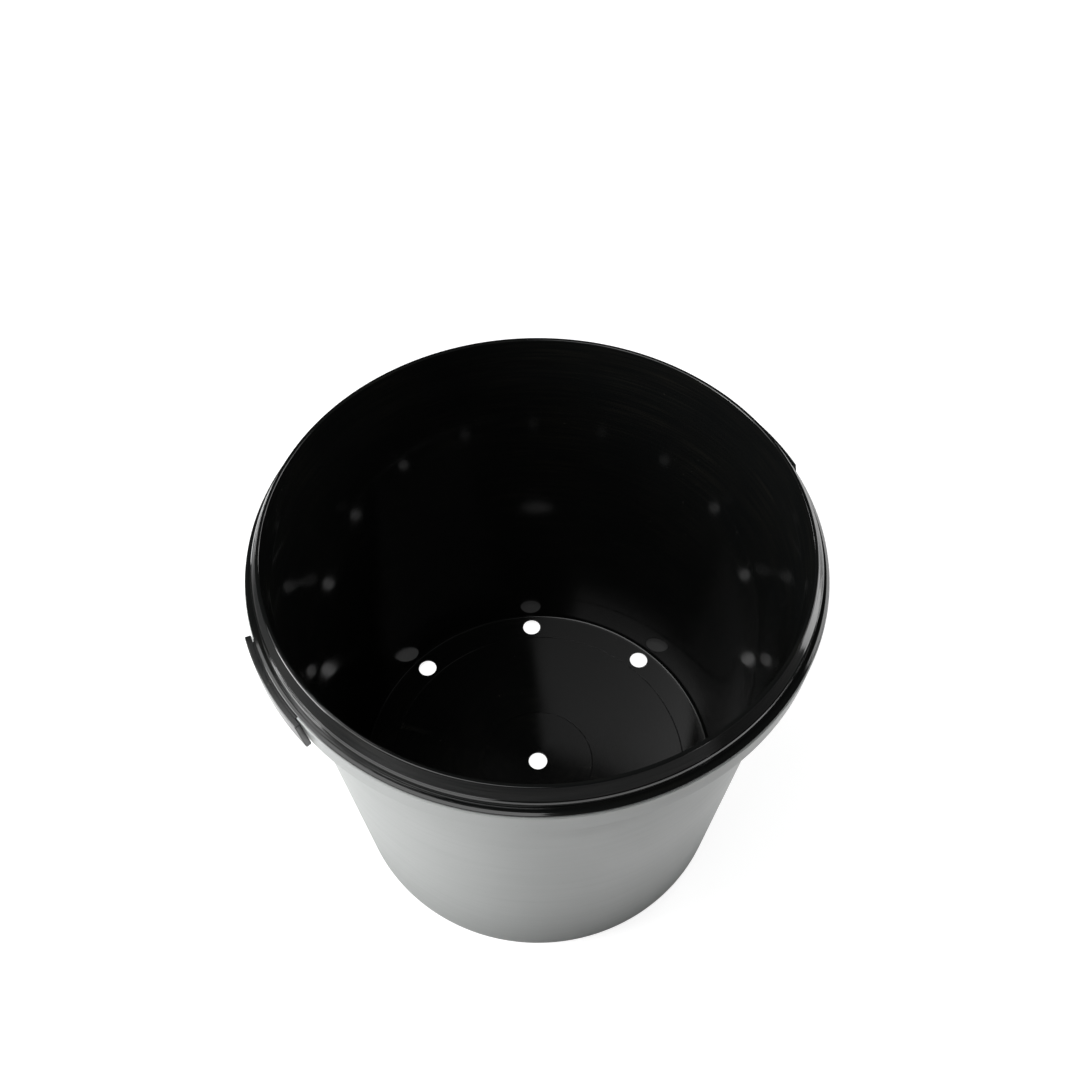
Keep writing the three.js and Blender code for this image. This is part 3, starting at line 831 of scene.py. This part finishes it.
# Side grips: two black clip-on grips of semi-gloss polypropylene. An outer wall with sloping ends hangs
# in front of the skirt, on a plate that passes through the skirt's notch and clips up into the collar.
GRIP_WALL = 3.2
GRIP_STEP = 1.0
GRIP_EDGE = 0.7
GRIP_HALF_ANGLE = 11.0
GRIP_END_SLOPE = 28.0
GRIP_GAP = 0.3
PLATE_THICKNESS = 2.2
PLATE_HALF_ANGLE = 9.5
GUSSET_ANGLE = 0.6
GUSSET_DEPTH = 6.0
CLIP_TURN = 6.0
CLIP_HALF_ANGLE = 1.6
CLIP_HEIGHT = 5.5
SWEEP_STEPS = 40
GRIP_BEVEL = 0.7
BEVEL_STEPS = 3
BEVEL_ABOVE = 50.0
OVERLAP = 0.1
LAND_LOW = 0.5
LAND_TRIM = 0.05
GUSSET_OVERLAP = 1.0
GUSSET_TRIM = 0.03
CLIP_OVERLAP = 1.2
CLIP_DRAFT = 0.2
GRIP_BLACK = (0.0060, 0.0064, 0.0064, 1.0)
GRIP_CLOUDS = 1.5
GRIP_SPECKS = 0.12
GRIP_WEAR = 0.25
GRIP_ROUGHNESS = (0.13, 0.22)
GRIP_GRAIN = 0.08

grip_low, grip_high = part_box("grip_right")
grip_outer = grip_high.x / MM
grip_bottom = grip_low.z / MM
grip_wall_inner = grip_outer - GRIP_WALL
grip_inner = channel_inner + GRIP_GAP
plate_top = ledge_bottom - GRIP_GAP
plate_bottom = plate_top - PLATE_THICKNESS
grip_top = plate_top - GRIP_STEP


def swept(name, corners, turn, half_angle, slope=0.0):
    """Sweep a closed outline round the pot's axis, with ends that may slope out as they go down."""
    outline = rounded(corners)
    form = bmesh.new()
    rows = []
    for step in range(SWEEP_STEPS + 1):
        share = 2.0 * step / SWEEP_STEPS - 1.0
        row = []
        for r, z in outline:
            widen = math.degrees(math.tan(math.radians(slope)) * (grip_top - z) / r)
            angle = math.radians(turn + share * (half_angle + widen))
            row.append(form.verts.new((r * MM * math.cos(angle), r * MM * math.sin(angle), z * MM)))
        rows.append(row)
    for row, ahead in zip(rows, rows[1:]):
        for place in range(len(outline)):
            after = (place + 1) % len(outline)
            form.faces.new((row[place], row[after], ahead[after], ahead[place]))
    form.faces.new(rows[0])
    form.faces.new(reversed(rows[-1]))
    mesh = bpy.data.meshes.new(name)
    form.to_mesh(mesh)
    form.free()
    faces_out(mesh)
    part = linked_object(name, mesh)
    bevel = part.modifiers.new("worn_ends", "BEVEL")
    bevel.width = GRIP_BEVEL * MM
    bevel.segments = BEVEL_STEPS
    bevel.limit_method = "ANGLE"
    bevel.angle_limit = math.radians(BEVEL_ABOVE)
    bevel.use_clamp_overlap = True
    return part


def melted(name, parts):
    """Melt overlapping parts into one closed form, and delete the parts."""
    bpy.context.view_layer.update()
    whole = parts[0]
    for part in parts[1:]:
        union = whole.modifiers.new("melt", "BOOLEAN")
        union.operation = "UNION"
        union.solver = "MANIFOLD"
        union.object = part
    shaped = whole.evaluated_get(bpy.context.evaluated_depsgraph_get())
    piece = linked_object(name, bpy.data.meshes.new_from_object(shaped))
    for part in parts:
        bpy.data.objects.remove(part)
    return piece


def make_grip(name, side):
    """One side grip, on the side of the pot that its angle gives."""
    wall = swept("wall", [
        (grip_wall_inner, grip_bottom, GRIP_EDGE), (grip_outer, grip_bottom, GRIP_EDGE),
        (grip_outer, grip_top, GRIP_EDGE), (grip_wall_inner, grip_top, 0.3)],
        side, GRIP_HALF_ANGLE, GRIP_END_SLOPE)
    join = grip_wall_inner + GRIP_WALL / 2.0
    plate = swept("plate", [
        (grip_inner, plate_bottom, 0.3), (join, plate_bottom, 0.0),
        (join, grip_top - OVERLAP, 0.0), (grip_inner, grip_top - OVERLAP, 0.0)], side, PLATE_HALF_ANGLE)
    land_inner = grip_inner + LAND_TRIM
    land_outer = ledge_radius - LEDGE_INSET - GRIP_GAP
    land_bottom = plate_bottom + LAND_LOW
    land = swept("land", [
        (land_inner, land_bottom, 0.0), (land_outer, land_bottom, 0.0),
        (land_outer, plate_top, 0.4), (land_inner, plate_top, 0.0)], side, PLATE_HALF_ANGLE - LAND_TRIM)
    parts = [wall, plate, land]
    gusset_inner = grip_inner + OVERLAP
    gusset_low = plate_bottom - GUSSET_DEPTH
    gusset_high = plate_bottom + GUSSET_OVERLAP
    clip_outer = channel_outer - GRIP_GAP
    clip_low = plate_bottom + CLIP_OVERLAP
    clip_high = plate_top + CLIP_HEIGHT
    for turn in (-1.0, 1.0):
        at = turn * (PLATE_HALF_ANGLE - GUSSET_ANGLE / 2.0)
        parts.append(swept("gusset", [
            (gusset_inner, gusset_low, 0.5), (join, gusset_low, 0.0), (join, gusset_high, 0.0),
            (gusset_inner, gusset_high, 0.0)], side + at, GUSSET_ANGLE / 2.0 - GUSSET_TRIM))
        parts.append(swept("clip", [
            (grip_inner, clip_low, 0.0), (clip_outer, clip_low, 0.0),
            (clip_outer - CLIP_DRAFT, clip_high, 0.3), (grip_inner + CLIP_DRAFT, clip_high, 0.3)],
            side + turn * CLIP_TURN, CLIP_HALF_ANGLE))
    grip = melted(name, parts)
    grip.data.materials.clear()
    grip.data.materials.append(grip_plastic)
    smooth_outward(grip)
    return grip


grip_plastic, grip_tree, grip_shader = plain_material("semi_gloss_black_plastic")
moulded = effect(grip_tree, mould_grain, grain_scale=1200.0, cloud_scale=60.0)
specks = effect(grip_tree, dust_specks, speck_scale=260.0, share=0.06)["Specks"]
rubbed = effect(grip_tree, edge_wear, wear_scale=150.0)["Wear"]
tone = blend(grip_tree, moulded["Clouds"], GRIP_BLACK, shade(GRIP_BLACK, GRIP_CLOUDS))
tone = blend(grip_tree, math_node(grip_tree, "MULTIPLY", specks, GRIP_SPECKS), tone, DUST)
tone = blend(grip_tree, math_node(grip_tree, "MULTIPLY", rubbed, GRIP_WEAR), tone, DUST)
grip_tree.links.new(tone, grip_shader.inputs["Base Color"])
rough = map_range(grip_tree, moulded["Clouds"], 0.0, 1.0, *GRIP_ROUGHNESS)
grip_tree.links.new(rough, grip_shader.inputs["Roughness"])
grain_bump = add_node(grip_tree, "ShaderNodeBump", {
    "Height": moulded["Height"], "Strength": GRIP_GRAIN, "Distance": GRAIN_HEIGHT}).outputs[0]
grip_tree.links.new(grain_bump, grip_shader.inputs["Normal"])
for grip_name, node_name, side in (("grip_right_moulding", "grip_right", 0.0),
                                   ("grip_left_moulding", "grip_left", 180.0)):
    grip = make_grip(grip_name, side)
    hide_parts(node_name)
    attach(grip, "pot")
